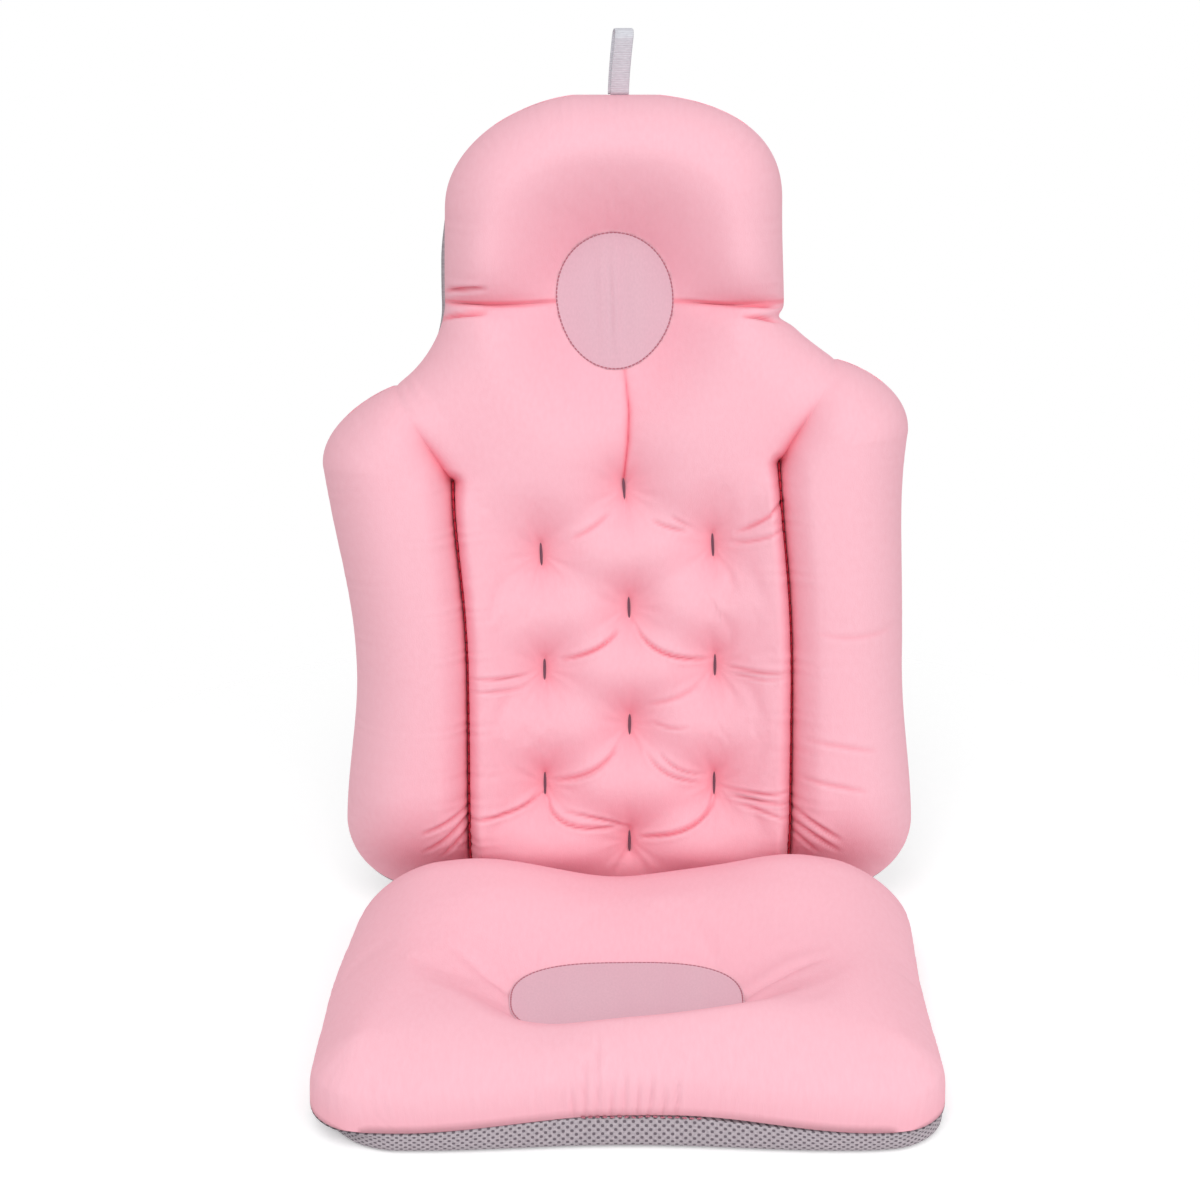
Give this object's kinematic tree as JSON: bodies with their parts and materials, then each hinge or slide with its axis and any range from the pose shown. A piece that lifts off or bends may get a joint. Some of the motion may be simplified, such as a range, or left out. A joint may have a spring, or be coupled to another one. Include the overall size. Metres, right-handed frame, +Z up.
{
  "type": "bath pillow",
  "caption": "Stuffed jersey bath pillow with a seat cushion, quilted back, side bolsters, head pad, air-mesh rear and a ribbon hanging loop; it folds at its sewn seams.",
  "frame": {"origin": "on the floor under the middle of the seat cushion", "axes": "+Z up, +X to the right seen from the front, the front of the seat faces -Y"},
  "size_m": [0.3498, 0.3781, 0.5235],
  "materials": {
    "jersey": "brushed stretch jersey",
    "air_mesh": "open spacer mesh",
    "patch_cloth": "plain woven cloth",
    "thread": "matt thread",
    "ribbon": "woven ribbon",
    "fibre": "fibre filling"
  },
  "bodies": {
    "seat": {"seat_cover": "jersey", "seat_mesh": "air_mesh", "seat_filling": "fibre", "seat_patch": "patch_cloth", "fold_seam": "jersey"},
    "back": {"back_cover": "jersey", "back_mesh": "air_mesh", "back_filling": "fibre", "bar_tack_1": "thread", "bar_tack_2": "thread", "bar_tack_3": "thread", "bar_tack_4": "thread", "bar_tack_5": "thread", "bar_tack_6": "thread", "bar_tack_7": "thread", "bar_tack_8": "thread", "bar_tack_9": "thread", "bar_tack_10": "thread", "left_side_seam": "thread", "right_side_seam": "thread", "left_neck_seam": "thread", "right_neck_seam": "thread", "nape_patch_lower": "patch_cloth"},
    "head": {"head_cover": "jersey", "head_mesh": "air_mesh", "head_filling": "fibre", "nape_patch_upper": "patch_cloth"},
    "left_bolster": {"left_bolster_cover": "jersey", "left_bolster_mesh": "air_mesh", "left_bolster_filling": "fibre"},
    "right_bolster": {"right_bolster_cover": "jersey", "right_bolster_mesh": "air_mesh", "right_bolster_filling": "fibre"},
    "loop": {"hang_loop": "ribbon"}
  },
  "joints": [
    {"name": "back_fold", "type": "hinge", "parent": "seat", "child": "back", "pos_m": [0, 0.1278, 0.006], "axis": [1, 0, 0], "range_deg": [-76, 8]},
    {"name": "head_fold", "type": "hinge", "parent": "back", "child": "head", "pos_m": [0, 0.21779, 0.36695], "axis": [1, 0, 0], "range_deg": [-45, 20]},
    {"name": "left_bolster_fold", "type": "hinge", "parent": "back", "child": "left_bolster", "pos_m": [-0.097, 0.16215, 0.14378], "axis": [0, 0.2419, 0.9703], "range_deg": [-40, 12]},
    {"name": "right_bolster_fold", "type": "hinge", "parent": "back", "child": "right_bolster", "pos_m": [0.097, 0.16215, 0.14378], "axis": [0, -0.2419, -0.9703], "range_deg": [-40, 12]},
    {"name": "loop_swing", "type": "hinge", "parent": "head", "child": "loop", "pos_m": [0, 0.24709, 0.4856], "axis": [1, 0, 0], "range_deg": [-75, 75], "stiffness_Nm_per_rad": 0.004}
  ]
}
